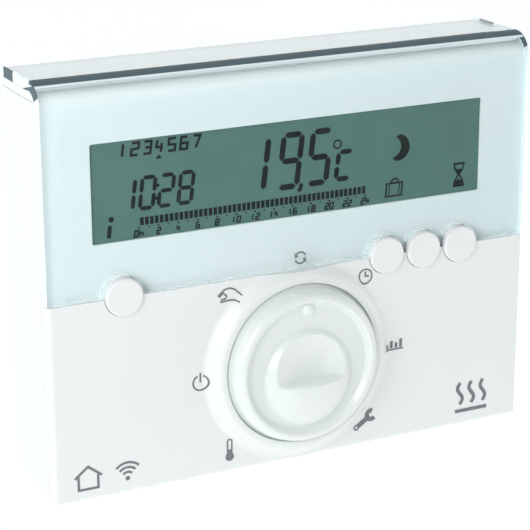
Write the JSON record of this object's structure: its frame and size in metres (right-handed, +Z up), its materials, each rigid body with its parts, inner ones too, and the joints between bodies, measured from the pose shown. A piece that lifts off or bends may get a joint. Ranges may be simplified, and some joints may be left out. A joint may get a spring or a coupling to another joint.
{
  "type": "wall thermostat",
  "caption": "Wall thermostat with a wide display behind a clear cover, a round selector knob, round keys, battery bay with hinged door and a hooked wall plate.",
  "frame": {"origin": "middle of the back face of the wall plate, on the wall plane", "axes": "+Z up, -Y out of the front face, +X to the right seen from the front"},
  "size_m": [0.135, 0.0368, 0.1064],
  "materials": {
    "white_plastic": "fine satin",
    "white_gloss": "satin gloss",
    "clear_plastic": "polished clear",
    "lcd_glass": "polished",
    "polariser_film": "satin film",
    "reflector_film": "diffuse",
    "conductive_rubber": "matte",
    "circuit_board": "solder mask",
    "plated_steel": "plated",
    "brass_wire": "drawn",
    "battery_label": "printed sleeve",
    "capacitor_sleeve": "shrunk sleeve",
    "black_plastic": "moulded"
  },
  "bodies": {
    "wall_plate": {"wall_plate": "white_plastic"},
    "case": {"rear_shell": "white_plastic", "front_shell": "white_plastic", "clear_cover": "clear_plastic", "lcd_frame": "white_plastic", "lcd_polariser": "polariser_film", "lcd_front_glass": "lcd_glass", "lcd_rear_glass": "lcd_glass", "lcd_reflector": "reflector_film", "elastomer_strip": "conductive_rubber", "main_board": "circuit_board", "board_screws": "plated_steel", "case_screws": "plated_steel", "rotary_switch": "black_plastic", "left_key_switch": "black_plastic", "right_key_switch_1": "black_plastic", "right_key_switch_2": "black_plastic", "right_key_switch_3": "black_plastic", "microcontroller": "black_plastic", "crystal": "plated_steel", "capacitor": "capacitor_sleeve", "chip_resistors": "black_plastic", "radio_board": "circuit_board", "radio_shield": "plated_steel", "antenna_wire": "brass_wire", "temperature_sensor": "black_plastic", "battery_1": "battery_label", "battery_2": "battery_label", "battery_spring_1": "plated_steel", "battery_spring_2": "plated_steel", "bridge_contact": "plated_steel", "positive_contact": "plated_steel", "negative_contact": "plated_steel"},
    "knob": {"selector_knob": "white_gloss", "switch_shaft": "plated_steel"},
    "left_key": {"left_key": "white_gloss", "left_plunger": "black_plastic"},
    "right_key_1": {"right_key_1": "white_gloss", "right_plunger_1": "black_plastic"},
    "right_key_2": {"right_key_2": "white_gloss", "right_plunger_2": "black_plastic"},
    "right_key_3": {"right_key_3": "white_gloss", "right_plunger_3": "black_plastic"},
    "battery_door": {"battery_door": "white_plastic"}
  },
  "joints": [
    {"name": "case_lift", "type": "slide", "parent": "wall_plate", "child": "case", "axis": [0, 0, 1], "range_m": [0, 0.005]},
    {"name": "knob_turn", "type": "hinge", "parent": "case", "child": "knob", "pos_m": [0, -0.027, -0.0258], "axis": [0, 1, 0], "range_deg": [-135, 135]},
    {"name": "left_key_press", "type": "slide", "parent": "case", "child": "left_key", "axis": [0, 1, 0], "range_m": [0, 0.0006], "stiffness_N_per_m": 1500},
    {"name": "right_key_1_press", "type": "slide", "parent": "case", "child": "right_key_1", "axis": [0, 1, 0], "range_m": [0, 0.0006], "stiffness_N_per_m": 1500},
    {"name": "right_key_2_press", "type": "slide", "parent": "case", "child": "right_key_2", "axis": [0, 1, 0], "range_m": [0, 0.0006], "stiffness_N_per_m": 1500},
    {"name": "right_key_3_press", "type": "slide", "parent": "case", "child": "right_key_3", "axis": [0, 1, 0], "range_m": [0, 0.0006], "stiffness_N_per_m": 1500},
    {"name": "battery_door_swing", "type": "hinge", "parent": "case", "child": "battery_door", "pos_m": [0, -0.003, 0.044], "axis": [1, 0, 0], "range_deg": [0, 90]}
  ]
}
